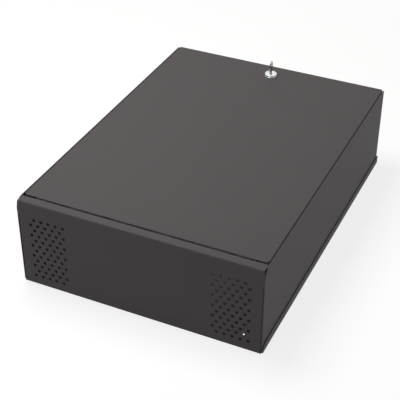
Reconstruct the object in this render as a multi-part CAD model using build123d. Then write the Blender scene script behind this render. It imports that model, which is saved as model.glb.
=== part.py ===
from build123d import *
import math
import os

# Recorder lock box in folded sheet steel. Sizes are in millimetres.
# The origin is on the surface that the box stands on, midway between its sides and ends.
# +X is across the box, -Y is the vented end, +Y is the lock end, +Z is up.

# Overall box
WIDTH = 403.0
DEPTH = 559.0
HEIGHT = 152.5

# Sheet and folds
SHEET = 1.5
BEND_INSIDE = 1.0
FOLD_LAND = 2.0
NOSE_RADIUS = 15.0

# Base tray
TRAY_FLANGE = 16.0
TRAY_FRONT_FLANGE = 12.0
TRAY_NOSE_SETBACK = 2.0
TRAY_REAR_CORNER = 4.0
MOUNT_INSET_X = 42.5
MOUNT_INSET_Y = 27.0
MOUNT_HOLE_R = 3.5

# Body shell
REAR_GAP = 0.5
RETURN_FLANGE = 12.0
RETURN_END_INSET = 17.0

# Lid
LID_BEND_INSIDE = 0.4
LID_GAP_LEFT = 0.3
LID_GAP_RIGHT = 1.2
LID_REST_GAP = 0.3
LID_FLANGE = 12.0
LID_FLANGE_START = 6.0
LID_FLANGE_REAR_CLEAR = 4.0
LID_CORNER_NOTCH = 3.0
SEAM_GAP = 2.5

# Front panel
STRIP_DEPTH = 16.2
STRIP_END_INSET = 0.4
STRIP_FLANGE = 24.0
PANEL_SIDE_FLANGE = 12.0
PANEL_SIDE_FLANGE_TOP_CLEAR = 4.0
VENT_ROWS = 12
VENT_COLUMNS = 10
VENT_ROW_PITCH = 9.65
VENT_COLUMN_PITCH = 6.25
VENT_INSET = 20.3
VENT_TOP = 29.9
VENT_HOLE_R = 2.75
VENT_SIDES = 8

# Piano hinge
KNUCKLES = 17
KNUCKLE_PITCH = 21.0
KNUCKLE_GAP = 0.4
KNUCKLE_R = 2.4
LEAF = 1.0
PIN_R = 1.25
PIN_RUNNING_GAP = 0.05
PIN_END = 1.0
PIN_END_BEVEL = 0.3
LEAF_LIFT = 0.4
LEAF_NOTCH_GAP = 0.5
MOVING_LEAF_WIDTH = 22.0
FIXED_LEAF_DROP = 20.0
LID_OVERHANG = 4.0
RAIL_DROP = 5.2
RAIL_END = 2.0

# Cam lock
LOCK_SETBACK = 38.0
LOCK_HEAD_R = 10.8
LOCK_HEAD_H = 6.2
LOCK_HEAD_ROUND = 0.9
LOCK_FLANGE_H = 2.7
LOCK_FLANGE_ROUND = 0.4
LOCK_GROOVE = 0.4
LOCK_TIER_INSET = 0.2
LOCK_BODY_R = 9.3
LOCK_BODY_FLAT = 8.0
LOCK_BODY_LENGTH = 17.0
LOCK_HOLE_GAP = 0.1
PLUG_R = 6.0
PLUG_SHOULDER = 1.0
PLUG_SHOULDER_H = 1.6
PLUG_RUNNING_GAP = 0.05
PLUG_FACE_DROP = 0.6
PLUG_TAIL = 6.4
PLUG_TAIL_GAP = 0.05
PLUG_END_GAP = 0.3
NUT_ACROSS_FLATS = 22.0
NUT_H = 3.5
TOOTH_WASHER_R = 11.5
TOOTH_WASHER_H = 0.8
TOOTH_COUNT = 12
TOOTH_NOTCH = 1.6

# Wafers and keyway
WAFERS = 5
WAFER = 0.9
WAFER_PITCH = 2.4
WAFER_FIRST = 5.0
WAFER_SLOT_GAP = 0.1
WAFER_END_GAP = 0.3
WAFER_HALF_WIDTH = 3.6
WAFER_WINDOW_GAP = 0.35

# Key
KEY_THICK = 2.2
KEY_BLADE = 7.6
KEY_SLOT_GAP = 0.3
KEY_INSERTED = 19.0
KEY_SHOULDER_UP = 4.0
KEY_BOW_W = 13.0
KEY_BOW_TOP_W = 7.0
KEY_BOW_H = 14.0
KEY_BOW_ROUND = 2.6
KEY_STANDS = 22.5
KEY_RING_HOLE_R = 2.0
KEY_RING_HOLE_DROP = 5.6
KEY_SHOULDER = 0.7
KEY_SHOULDER_RUN = 1.0
KEY_TIP_BEVEL = 2.0
KEY_CUTS = (1.2, 0.6, 1.6, 0.9)
KEY_FIRST_CUT = 4.5
KEY_CUT_PITCH = 3.2
KEY_CUT_FLARE = 1.0

# Cam stack below the plug
STOP_WASHER_R = 6.9
STOP_WASHER_H = 1.2
STOP_EAR_R = 9.0
STOP_EAR_W = 4.6
STOP_SKIRT_R = 7.4
STOP_TURN = 90.0
STOP_MARGIN_DEG = 3.0
CAM = 2.0
CAM_HALF_WIDTH = 6.5
CAM_ROOT_R = 8.0
CAM_REACH = 30.0
SPRING_WASHER_H = 1.0
SPRING_WASHER_R = 4.2
SPRING_WASHER_SPLIT = 0.6
SCREW_HEAD_AF = 7.0
SCREW_HEAD_H = 2.8
SCREW_R = 2.0
SCREW_HOLE_GAP = 0.1
SCREW_BORE_ROOF = 1.5
SCREW_END_GAP = 0.5

# Catch on the back wall
CATCH_CAM_GAP = 0.5
CATCH_REACH = 14.0
CATCH_HALF_WIDTH = 24.0
CATCH_LEG = 13.0
CATCH_CORNER_R = 4.0

# Fan
FAN_X = 105.0
FAN_SIZE = 80.0
FAN_THICK = 25.0
FAN_DUCT_R = 38.0
FAN_CORNER_R = 3.5
FAN_FLANGE = 3.6
FAN_HOLE_PITCH = 71.5
FAN_HOLE_R = 2.2
FAN_MOTOR_R = 17.5
FAN_MOTOR_PLATE = 2.2
FAN_STRUTS = 4
FAN_STRUT = 3.0
FAN_STRUT_SEAT_GAP = 0.05
FAN_BOSS_R = 4.5
FAN_BOSS_L = 15.0
FAN_BEARING_R = 3.2
FAN_BEARING_SETBACK = 2.0
FAN_SHAFT_R = 1.5
FAN_SHAFT_GAP = 0.05
FAN_HUB_R = 18.5
FAN_HUB_WALL = 1.4
FAN_HUB_DEPTH = 19.0
FAN_TIP_GAP = 0.9
FAN_BLADES = 7
FAN_BLADE = 1.3
FAN_BLADE_SUNK = 2.5
FAN_BLADE_ROOT = (17.0, 42.0)
FAN_BLADE_TIP = (24.0, 24.0)
FAN_BLADE_SEAT = 0.6
FAN_HUB_SETBACK = 1.0
FAN_FACE_GAP = 1.2
FAN_CLIP_R = 2.8
FAN_CLIP_H = 0.5
FAN_CLIP_OPEN = 1.6
FAN_CLIP_GRIP = 0.4
FAN_CLIP_SETBACK = 1.0
FAN_SHAFT_SETBACK = 0.6
FAN_TERMINAL_W = 2.8
FAN_TERMINAL_T = 0.5
FAN_TERMINAL_L = 6.0
FAN_TERMINAL_PITCH = 9.0
FAN_TERMINAL_HOLE_R = 0.6
FAN_TERMINAL_HOLE_UP = 2.0
FAN_SOCKET_W = 17.0
FAN_SOCKET_T = 7.0
FAN_SOCKET_OUT = 2.0
FAN_SOCKET_SEAT = 1.0
FAN_SCREW_R = 2.0
FAN_SCREW_HEAD_R = 3.9
FAN_SCREW_HEAD_H = 1.9
FAN_SCREW_CROWN = 0.9
FAN_SCREW_PAST_NUT = 1.5
FAN_RECESS_L = 3.6
FAN_RECESS_W = 0.8
FAN_RECESS_DEEP = 1.1
FAN_NUT_AF = 7.0
FAN_NUT_H = 3.2
GRILLE_RINGS = (14.0, 22.0, 30.0)
GRILLE_SLOT = 5.0
GRILLE_SLOTS_PER_RING = 4
GRILLE_WEB = 5.0

# Cable opening
CABLE_X = -110.0
CABLE_Z = 40.0
CABLE_W = 90.0
CABLE_H = 36.0
CABLE_CORNER_R = 8.0
TRIM = 1.2
TRIM_GRIP = 3.5

# Levels and planes that the pieces share
FRONT_Y = -DEPTH / 2
REAR_Y = DEPTH / 2
BEND_OUTSIDE = BEND_INSIDE + SHEET
LID_BEND_OUTSIDE = LID_BEND_INSIDE + SHEET
SHELL_X = WIDTH / 2 - SHEET
INNER_X = SHELL_X - SHEET
BACK_Y = REAR_Y - SHEET - REAR_GAP
BACK_INNER_Y = BACK_Y - SHEET
RETURN_TOP = HEIGHT - SHEET - LID_REST_GAP
RETURN_FRONT_Y = BACK_Y - RETURN_FLANGE
STRIP_REAR_Y = FRONT_Y + STRIP_DEPTH
LID_FRONT_Y = STRIP_REAR_Y + SEAM_GAP
LID_LEFT_X = -INNER_X + LID_GAP_LEFT
LID_RIGHT_X = INNER_X - LID_GAP_RIGHT
LID_UNDER = HEIGHT - SHEET
PIVOT_Y = LID_FRONT_Y + LID_OVERHANG
PIVOT_Z = LID_UNDER - KNUCKLE_R - LEAF_LIFT
RAIL_TOP = PIVOT_Z - RAIL_DROP
LEAF_BOTTOM = PIVOT_Z - FIXED_LEAF_DROP
HINGE_LENGTH = KNUCKLES * KNUCKLE_PITCH
LOCK_Y = REAR_Y - LOCK_SETBACK
PLUG_SHOULDER_R = PLUG_R + PLUG_SHOULDER
HEAD_TOP = HEIGHT + LOCK_HEAD_H
BODY_BOTTOM = HEIGHT - LOCK_BODY_LENGTH
PLUG_TOP = HEAD_TOP - PLUG_FACE_DROP
PLUG_BOTTOM = BODY_BOTTOM - PLUG_END_GAP
CAM_TOP = PLUG_BOTTOM - STOP_WASHER_H
CAM_BOTTOM = CAM_TOP - CAM
KEY_TOP = HEAD_TOP + KEY_STANDS
KEYWAY_BOTTOM = PLUG_TOP - KEY_INSERTED - KEY_SLOT_GAP
SCREW_BORE_TOP = KEYWAY_BOTTOM - SCREW_BORE_ROOF
CATCH_UNDER = CAM_TOP + CATCH_CAM_GAP
FAN_Z = HEIGHT / 2
FAN_REAR_Y = BACK_INNER_Y
FAN_FRONT_Y = FAN_REAR_Y - FAN_THICK
FAN_MIDDLE_Y = FAN_REAR_Y - FAN_THICK / 2
FAN_CLIP_Y = FAN_FRONT_Y + FAN_CLIP_SETBACK
FAN_SOCKET_BOTTOM = FAN_Z - FAN_SIZE / 2 - FAN_SOCKET_OUT


def sheet_band(points, thickness=SHEET, inside=BEND_INSIDE):
    """Section of a folded sheet: points follow one face, the thickness lies to their left."""
    path = [Vector(*p) for p in points]
    legs = [(b - a).normalized() for a, b in zip(path, path[1:])]
    normals = [Vector(-leg.Y, leg.X) for leg in legs]
    far = [path[0] + normals[0] * thickness]
    near_radii = []
    far_radii = []
    for i in range(1, len(legs)):
        turn = legs[i - 1].X * legs[i].Y - legs[i - 1].Y * legs[i].X
        half = (normals[i - 1] + normals[i]) / (1 + normals[i - 1].dot(normals[i]))
        far.append(path[i] + half * thickness)
        near_radii.append(inside + thickness if turn > 0 else inside)
        far_radii.append(inside if turn > 0 else inside + thickness)
    far.append(path[-1] + normals[-1] * thickness)
    if near_radii:
        near_line = FilletPolyline(*path, radius=near_radii)
        far_line = FilletPolyline(*far, radius=far_radii)
    else:
        near_line = Line(path[0], path[-1])
        far_line = Line(far[0], far[-1])
    ends = Line(path[0], far[0]) + Line(path[-1], far[-1])
    return make_face(near_line + far_line + ends)


def along_x(face, x0, x1):
    """A section drawn as (y, z) and run from x0 to x1."""
    return Pos(x0, 0, 0) * extrude(Plane.YZ * face, x1 - x0)


def along_y(face, y0, y1):
    """A section drawn as (x, z) and run from y0 to y1."""
    return extrude(facing_rear(y1) * face, y1 - y0)


def along_z(face, z0, z1):
    """A section drawn as (x, y) and run from z0 to z1."""
    return Pos(0, 0, z0) * extrude(face, z1 - z0)


def block(x0, x1, y0, y1, z0, z1):
    """A plain cutting block between two corners."""
    middle = Pos((x0 + x1) / 2, (y0 + y1) / 2, (z0 + z1) / 2)
    return middle * Box(x1 - x0, y1 - y0, z1 - z0)


def rod(radius, z0, z1):
    """An upright cylinder between two levels."""
    return Pos(0, 0, (z0 + z1) / 2) * Cylinder(radius, z1 - z0)


def hexagon(across_flats):
    return RegularPolygon(across_flats / 2, 6, major_radius=False)


def nose_cut(top, x0, x1):
    """What is cut away so that a side sheet's front top corner is a quarter round."""
    y0 = FRONT_Y
    y1 = FRONT_Y + NOSE_RADIUS
    z0 = top - NOSE_RADIUS
    corner = Pos((y0 + y1) / 2, (z0 + top) / 2) * Rectangle(NOSE_RADIUS, NOSE_RADIUS)
    return along_x(corner - Pos(y1, z0) * Circle(NOSE_RADIUS), x0, x1)


def both_sides(cut):
    return cut + mirror(cut, about=Plane.YZ)


def repeated(places, face):
    """One face drawn at every place."""
    return Sketch() + [place * face for place in places]


def facing_rear(y):
    """Drawing plane at y with (x, z) coordinates; an extrusion runs towards the front."""
    return Plane(origin=(0, y, 0), x_dir=(1, 0, 0), z_dir=(0, -1, 0))


def base_tray():
    half = WIDTH / 2
    section = sheet_band([(-half, TRAY_FLANGE), (-half, 0), (half, 0), (half, TRAY_FLANGE)])
    tray = along_y(section, FRONT_Y + TRAY_NOSE_SETBACK, REAR_Y)
    # The front panel stands in front of the floor, between the side walls.
    front_edge = FRONT_Y + SHEET
    tray -= block(-INNER_X, INNER_X, FRONT_Y, front_edge + 1, -1, TRAY_FLANGE)
    flange_x = INNER_X - SHEET - BEND_OUTSIDE
    overlap = front_edge + BEND_OUTSIDE + FOLD_LAND
    front = sheet_band([(front_edge, TRAY_FRONT_FLANGE), (front_edge, 0), (overlap, 0)])
    tray -= block(-flange_x, flange_x, FRONT_Y, overlap, -1, TRAY_FLANGE)
    tray += along_x(front, -flange_x, flange_x)
    # Rear flange, outside the back wall.
    rear_x = half - BEND_OUTSIDE - TRAY_REAR_CORNER
    rear_in = REAR_Y - BEND_OUTSIDE - FOLD_LAND
    rear = sheet_band([(rear_in, 0), (REAR_Y, 0), (REAR_Y, TRAY_FLANGE)])
    tray -= block(-rear_x, rear_x, rear_in, REAR_Y + 1, -1, SHEET + 1)
    tray += along_x(rear, -rear_x, rear_x)
    for side in (-1, 1):
        inner = side * rear_x
        outer = side * (half - BEND_OUTSIDE)
        tray -= block(min(inner, outer), max(inner, outer), rear_in, REAR_Y + 1, -1, SHEET + 1)
    tray -= both_sides(nose_cut(TRAY_FLANGE, INNER_X, half + 1))
    holes = GridLocations(WIDTH - 2 * MOUNT_INSET_X, DEPTH - 2 * MOUNT_INSET_Y, 2, 2)
    tray -= holes * Cylinder(MOUNT_HOLE_R, 4 * SHEET)
    return tray


def fan_hole_places():
    return GridLocations(FAN_HOLE_PITCH, FAN_HOLE_PITCH, 2, 2)


def grille():
    """Concentric arc slots in the back wall behind the fan, drawn about their centre."""
    sector = 360 / GRILLE_SLOTS_PER_RING
    slots = Sketch()
    for ring, radius in enumerate(GRILLE_RINGS):
        trim = math.degrees((GRILLE_WEB + GRILLE_SLOT) / 2 / radius)
        for k in range(GRILLE_SLOTS_PER_RING):
            start = (k + ring / 2) * sector + trim
            slots += SlotArc(CenterArc((0, 0), radius, start, sector - 2 * trim), height=GRILLE_SLOT)
    return slots


def body_shell():
    plan = sheet_band([(-SHELL_X, FRONT_Y), (-SHELL_X, BACK_Y), (SHELL_X, BACK_Y), (SHELL_X, FRONT_Y)][::-1])
    shell = along_z(plan, BEND_OUTSIDE, HEIGHT)
    # The back wall stops lower than the sides and turns in under the lid.
    wall_x = SHELL_X - BEND_OUTSIDE
    shell -= block(-wall_x, wall_x, BACK_INNER_Y - 1, BACK_Y + 1, RETURN_TOP - BEND_OUTSIDE, HEIGHT + 1)
    shell -= block(-SHELL_X, SHELL_X, BACK_INNER_Y - BEND_INSIDE, BACK_Y + 1, RETURN_TOP, HEIGHT + 1)
    return_x = INNER_X - RETURN_END_INSET
    fold_foot = RETURN_TOP - BEND_OUTSIDE - FOLD_LAND
    fold = [(BACK_Y, fold_foot), (BACK_Y, RETURN_TOP), (RETURN_FRONT_Y, RETURN_TOP)]
    shell -= block(-return_x, return_x, BACK_INNER_Y - 1, BACK_Y + 1, fold_foot, HEIGHT)
    shell += along_x(sheet_band(fold), -return_x, return_x)
    shell -= both_sides(nose_cut(HEIGHT, INNER_X - 1, SHELL_X + 1))
    cable = Pos(CABLE_X, CABLE_Z) * RectangleRounded(CABLE_W, CABLE_H, CABLE_CORNER_R)
    fan = grille() + repeated(fan_hole_places(), Circle(FAN_HOLE_R))
    return shell - along_y(cable + Pos(FAN_X, FAN_Z) * fan, BACK_INNER_Y - 1, BACK_Y + 1)


def vent_centres():
    """Hole centres of both fields as (x, z), mirrored about the middle of the panel."""
    centres = []
    for row in range(VENT_ROWS):
        z = HEIGHT - VENT_TOP - row * VENT_ROW_PITCH
        first = 1 if row % 2 == 0 else 0
        for column in range(first, VENT_COLUMNS, 2):
            x = INNER_X - VENT_INSET - column * VENT_COLUMN_PITCH
            centres += [(-x, z), (x, z)]
    return centres


def front_vent_panel():
    flange_foot = HEIGHT - STRIP_FLANGE
    run = [(FRONT_Y, 0), (FRONT_Y, HEIGHT), (STRIP_REAR_Y, HEIGHT), (STRIP_REAR_Y, flange_foot)]
    face = along_x(sheet_band(run[::-1]), -INNER_X, INNER_X)
    # The strip and its down flange stop short of the panel's own edges.
    strip_x = INNER_X - STRIP_END_INSET
    ends = block(strip_x, INNER_X + 1, FRONT_Y + BEND_OUTSIDE, STRIP_REAR_Y + 1, flange_foot - 1, HEIGHT + 1)
    ends += block(strip_x, INNER_X + 1, FRONT_Y - 1, STRIP_REAR_Y + 1, HEIGHT - BEND_OUTSIDE, HEIGHT + 1)
    panel = face - both_sides(ends)
    # Side flanges turned back against the side walls.
    side_top = HEIGHT - STRIP_FLANGE - PANEL_SIDE_FLANGE_TOP_CLEAR
    corner = INNER_X - BEND_OUTSIDE - FOLD_LAND
    turn = sheet_band([(corner, FRONT_Y), (INNER_X, FRONT_Y), (INNER_X, FRONT_Y + PANEL_SIDE_FLANGE)])
    panel -= both_sides(block(corner, INNER_X + 1, FRONT_Y - 1, FRONT_Y + SHEET + 1, SHEET, side_top))
    panel += both_sides(along_z(turn, SHEET, side_top))
    # Each small round vent is drawn with eight sides.
    vent = RegularPolygon(VENT_HOLE_R, VENT_SIDES, rotation=180 / VENT_SIDES)
    holes = repeated([Pos(x, z) for x, z in vent_centres()], vent)
    return panel - along_y(holes, FRONT_Y - 1, FRONT_Y + SHEET + 1)


def hinge_rail():
    front = STRIP_REAR_Y
    rear = PIVOT_Y + KNUCKLE_R - LEAF
    section = sheet_band([(rear, LEAF_BOTTOM), (rear, RAIL_TOP), (front, RAIL_TOP), (front, LEAF_BOTTOM)])
    half = HINGE_LENGTH / 2 + RAIL_END
    return along_x(section, -half, half)


def knuckle_row(odd):
    """Every second knuckle blank of the hinge, without its bore."""
    row = []
    for i in range(odd, KNUCKLES, 2):
        x0 = -HINGE_LENGTH / 2 + i * KNUCKLE_PITCH + KNUCKLE_GAP / 2
        x1 = x0 + KNUCKLE_PITCH - KNUCKLE_GAP
        row.append((x0, x1))
    return row


def pin_bore():
    half = HINGE_LENGTH / 2 + 1
    return along_x(Pos(PIVOT_Y, PIVOT_Z) * Circle(PIN_R + PIN_RUNNING_GAP), -half, half)


def knuckle_clearance(odd):
    """Room round the other leaf's knuckles."""
    reach = KNUCKLE_R + LEAF_NOTCH_GAP
    y0, y1 = PIVOT_Y - reach, PIVOT_Y + reach
    z0, z1 = PIVOT_Z - reach, PIVOT_Z + reach
    return Part() + [block(x0 - KNUCKLE_GAP, x1 + KNUCKLE_GAP, y0, y1, z0, z1) for x0, x1 in knuckle_row(odd)]


def hinge_leaf(plate, odd):
    leaf = plate - knuckle_clearance(1 - odd)
    for x0, x1 in knuckle_row(odd):
        leaf += along_x(Pos(PIVOT_Y, PIVOT_Z) * Circle(KNUCKLE_R), x0, x1)
    return leaf - pin_bore()


def hinge_leaf_fixed():
    rear = PIVOT_Y + KNUCKLE_R
    half = HINGE_LENGTH / 2 - KNUCKLE_GAP / 2
    return hinge_leaf(block(-half, half, rear - LEAF, rear, LEAF_BOTTOM, PIVOT_Z), 0)


def hinge_leaf_moving():
    half = HINGE_LENGTH / 2 - KNUCKLE_GAP / 2
    plate = block(-half, half, PIVOT_Y, PIVOT_Y + MOVING_LEAF_WIDTH, LID_UNDER - LEAF, LID_UNDER)
    return hinge_leaf(plate, 1)


def hinge_pin():
    half = HINGE_LENGTH / 2 + PIN_END
    pin = along_x(Pos(PIVOT_Y, PIVOT_Z) * Circle(PIN_R), -half, half)
    ends = pin.faces().sort_by(Axis.X)
    return chamfer(ends[0].edges() + ends[-1].edges(), PIN_END_BEVEL)


def lock_hole():
    """Double-D hole in the lid that keeps the lock body from turning."""
    radius = LOCK_BODY_R + LOCK_HOLE_GAP
    flats = 2 * (LOCK_BODY_FLAT + LOCK_HOLE_GAP)
    outline = Circle(radius) & Rectangle(flats, 2 * radius)
    return Pos(0, LOCK_Y, 0) * along_z(outline, LID_UNDER - 1, HEIGHT + 1)


def lid():
    # Side flanges, with the sheet's outer face facing the side walls.
    foot = HEIGHT - LID_FLANGE
    run = [(LID_RIGHT_X, foot), (LID_RIGHT_X, HEIGHT), (LID_LEFT_X, HEIGHT), (LID_LEFT_X, foot)]
    pan = along_y(sheet_band(run, inside=LID_BEND_INSIDE), LID_FRONT_Y, REAR_Y)
    flange_rear = RETURN_FRONT_Y - LID_FLANGE_REAR_CLEAR
    under = HEIGHT - LID_BEND_OUTSIDE
    left_flange = (LID_LEFT_X - 1, LID_LEFT_X + LID_BEND_OUTSIDE)
    right_flange = (LID_RIGHT_X - LID_BEND_OUTSIDE, LID_RIGHT_X + 1)
    for x0, x1 in (left_flange, right_flange):
        pan -= block(x0, x1, LID_FRONT_Y - 1, LID_FRONT_Y + LID_FLANGE_START, 0, under)
        pan -= block(x0, x1, flange_rear, REAR_Y + 1, 0, under)
    # Rear lip, folded down outside the back wall.
    lip_in = REAR_Y - LID_BEND_OUTSIDE - FOLD_LAND
    lip = sheet_band([(REAR_Y, foot), (REAR_Y, HEIGHT), (lip_in, HEIGHT)], inside=LID_BEND_INSIDE)
    pan -= block(LID_LEFT_X - 1, LID_RIGHT_X + 1, lip_in, REAR_Y + 1, 0, HEIGHT + 1)
    pan += along_x(lip, LID_LEFT_X + LID_BEND_OUTSIDE, LID_RIGHT_X - LID_BEND_OUTSIDE)
    notch = LID_CORNER_NOTCH
    pan -= block(LID_LEFT_X - 1, LID_LEFT_X + notch, LID_FRONT_Y - 1, LID_FRONT_Y + notch, 0, HEIGHT + 1)
    pan -= block(LID_RIGHT_X - notch, LID_RIGHT_X + 1, LID_FRONT_Y - 1, LID_FRONT_Y + notch, 0, HEIGHT + 1)
    return pan - lock_hole()


def at_lock(shape):
    return Pos(0, LOCK_Y, 0) * shape


def lock_housing():
    counterbore = PLUG_SHOULDER_R + PLUG_RUNNING_GAP
    step = PLUG_TOP - PLUG_SHOULDER_H - PLUG_END_GAP
    flats = Rectangle(2 * LOCK_BODY_FLAT, 2 * LOCK_BODY_R)
    body = along_z(Circle(LOCK_BODY_R) & flats, BODY_BOTTOM, HEIGHT)
    housing = body + lock_head()
    housing -= rod(PLUG_R + PLUG_RUNNING_GAP, BODY_BOTTOM - 1, HEAD_TOP)
    housing -= rod(counterbore, step, HEAD_TOP + 1)
    return at_lock(housing + stop_skirt(flats))


def lock_head():
    """Head in two tiers with a fine groove between them, turned about the lock's axis."""
    flange_top = HEIGHT + LOCK_FLANGE_H
    tier_r = LOCK_HEAD_R - LOCK_TIER_INSET
    groove_r = tier_r - LOCK_GROOVE
    flange = [(0, HEIGHT), (LOCK_HEAD_R, HEIGHT), (LOCK_HEAD_R, flange_top), (0, flange_top)]
    tier_foot = flange_top + LOCK_GROOVE
    tier = [(0, tier_foot), (tier_r, tier_foot), (tier_r, HEAD_TOP), (0, HEAD_TOP)]
    section = Sketch() + Pos(groove_r / 2, tier_foot) * Rectangle(groove_r, 4 * LOCK_GROOVE)
    for outline, rounding in ((flange, LOCK_FLANGE_ROUND), (tier, LOCK_HEAD_ROUND)):
        section += make_face(FilletPolyline(*outline, radius=[0, rounding]) + Line(outline[-1], outline[0]))
    return revolve(Plane.XZ * section, Axis.Z)


def stop_skirt(flats):
    """Part ring under the lock body whose two ends stop the washer's ear."""
    half_ear = math.degrees(math.asin(STOP_EAR_W / 2 / STOP_SKIRT_R)) + STOP_MARGIN_DEG
    first = math.radians(180 - half_ear)
    last = math.radians(180 + STOP_TURN + half_ear)
    turns = [first, (first + last) / 2, last]
    reach = 4 * LOCK_BODY_R
    rim = [(reach * math.cos(a), reach * math.sin(a)) for a in turns]
    wedge = make_face(Polyline((0, 0), *rim, close=True))
    ring = (Circle(LOCK_BODY_R) & flats) - Circle(STOP_SKIRT_R) - wedge
    return along_z(ring, CAM_TOP + PLUG_END_GAP, BODY_BOTTOM)


def lock_washer():
    ring = Circle(TOOTH_WASHER_R) - Circle(LOCK_BODY_R + LOCK_HOLE_GAP)
    notches = repeated(PolarLocations(TOOTH_WASHER_R, TOOTH_COUNT), Rectangle(TOOTH_NOTCH, TOOTH_NOTCH))
    return at_lock(along_z(ring - notches, LID_UNDER - TOOTH_WASHER_H, LID_UNDER))


def lock_nut():
    top = LID_UNDER - TOOTH_WASHER_H
    face = hexagon(NUT_ACROSS_FLATS) - Circle(LOCK_BODY_R + LOCK_HOLE_GAP)
    return at_lock(along_z(face, top - NUT_H, top))


def wafer_levels():
    return [PLUG_TOP - WAFER_FIRST - i * WAFER_PITCH for i in range(WAFERS)]


def lock_plug():
    step = PLUG_TOP - PLUG_SHOULDER_H
    barrel = rod(PLUG_R, PLUG_BOTTOM, step) + rod(PLUG_SHOULDER_R, step, PLUG_TOP)
    tail_bottom = CAM_BOTTOM + PLUG_TAIL_GAP
    barrel += along_z(Rectangle(PLUG_TAIL, PLUG_TAIL), tail_bottom, PLUG_BOTTOM)
    slot_x = KEY_THICK / 2 + KEY_SLOT_GAP
    slot_y = KEY_BLADE / 2 + KEY_SLOT_GAP
    barrel -= block(-slot_x, slot_x, -slot_y, slot_y, KEYWAY_BOTTOM, PLUG_TOP + 1)
    for z in wafer_levels():
        gap = WAFER / 2 + WAFER_SLOT_GAP
        side = WAFER_HALF_WIDTH + WAFER_SLOT_GAP
        barrel -= block(-side, side, -PLUG_R, PLUG_R, z - gap, z + gap)
    barrel -= rod(SCREW_R, tail_bottom - 1, SCREW_BORE_TOP)
    return at_lock(barrel)


def lock_wafers():
    window_x = KEY_THICK / 2 + WAFER_WINDOW_GAP
    window_y = KEY_BLADE / 2 + WAFER_WINDOW_GAP
    outline = Rectangle(2 * WAFER_HALF_WIDTH, 2 * PLUG_R) & Circle(PLUG_R - WAFER_END_GAP)
    face = outline - Rectangle(2 * window_x, 2 * window_y)
    return [at_lock(along_z(face, z - WAFER / 2, z + WAFER / 2)) for z in wafer_levels()]


def cam_stop_washer():
    ear = Pos(-STOP_EAR_R / 2, 0) * Rectangle(STOP_EAR_R, STOP_EAR_W)
    face = Circle(STOP_WASHER_R) + (ear & Circle(STOP_EAR_R))
    return at_lock(along_z(face - tail_hole(), CAM_TOP, PLUG_BOTTOM))


def tail_hole():
    return Rectangle(PLUG_TAIL + 2 * PLUG_TAIL_GAP, PLUG_TAIL + 2 * PLUG_TAIL_GAP)


def lock_cam():
    neck = CAM_REACH - CAM_HALF_WIDTH
    face = Circle(CAM_ROOT_R) + Pos(neck / 2, 0) * Rectangle(neck, 2 * CAM_HALF_WIDTH)
    face += Pos(neck, 0) * Circle(CAM_HALF_WIDTH)
    return at_lock(along_z(face - tail_hole(), CAM_BOTTOM, CAM_TOP))


def cam_spring_washer():
    face = Circle(SPRING_WASHER_R) - Circle(SCREW_R + SCREW_HOLE_GAP)
    face -= Pos(SPRING_WASHER_R, 0) * Rectangle(2 * SCREW_R, SPRING_WASHER_SPLIT)
    return at_lock(along_z(face, CAM_BOTTOM - SPRING_WASHER_H, CAM_BOTTOM))


def cam_screw():
    top = CAM_BOTTOM - SPRING_WASHER_H
    head = along_z(hexagon(SCREW_HEAD_AF), top - SCREW_HEAD_H, top)
    shank = rod(SCREW_R, top, SCREW_BORE_TOP - SCREW_END_GAP)
    return at_lock(head + shank)


def key():
    """Flat key standing in the plane of the box's length, drawn as (y, z)."""
    half = KEY_BLADE / 2
    neck = half + KEY_SHOULDER
    tip = PLUG_TOP - KEY_INSERTED
    shoulder = HEAD_TOP + KEY_SHOULDER_UP
    bow_foot = KEY_TOP - KEY_BOW_H
    side = [(half - KEY_TIP_BEVEL, tip), (half, tip + KEY_TIP_BEVEL), (half, shoulder)]
    side += [(neck, shoulder + KEY_SHOULDER_RUN), (neck, bow_foot + 1)]
    blade = make_face(Polyline(*side, *[(-y, z) for y, z in side[::-1]], close=True))
    wide, narrow = KEY_BOW_W / 2, KEY_BOW_TOP_W / 2
    corners = [(wide, bow_foot), (narrow, KEY_TOP), (-narrow, KEY_TOP), (-wide, bow_foot)]
    bow = make_face(FilletPolyline(*corners, radius=KEY_BOW_ROUND, close=True))
    face = Sketch() + blade + bow
    for i, cut in enumerate(KEY_CUTS):
        z = tip + KEY_FIRST_CUT + i * KEY_CUT_PITCH
        mouth = cut + KEY_CUT_FLARE
        notch = Polyline((half - cut, z), (half + 1, z - mouth), (half + 1, z + mouth), close=True)
        face -= make_face(notch)
    face -= Pos(0, KEY_TOP - KEY_RING_HOLE_DROP) * Circle(KEY_RING_HOLE_R)
    blank = along_x(face, -KEY_THICK / 2, KEY_THICK / 2)
    return at_lock(blank)


def lock_catch():
    front = BACK_INNER_Y - CATCH_REACH
    top = CATCH_UNDER + CATCH_LEG
    section = sheet_band([(front, CATCH_UNDER), (BACK_INNER_Y, CATCH_UNDER), (BACK_INNER_Y, top)])
    catch = along_x(section, -CATCH_HALF_WIDTH, CATCH_HALF_WIDTH)
    return fillet(catch.edges().filter_by(Axis.Z).group_by(Axis.Y)[0], CATCH_CORNER_R)


def on_fan(face, y0, y1):
    """A face drawn about the fan's axis, run from y0 to y1."""
    plane = Plane(origin=(FAN_X, y1, FAN_Z), x_dir=(1, 0, 0), z_dir=(0, -1, 0))
    return extrude(plane * face, y1 - y0)


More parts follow.
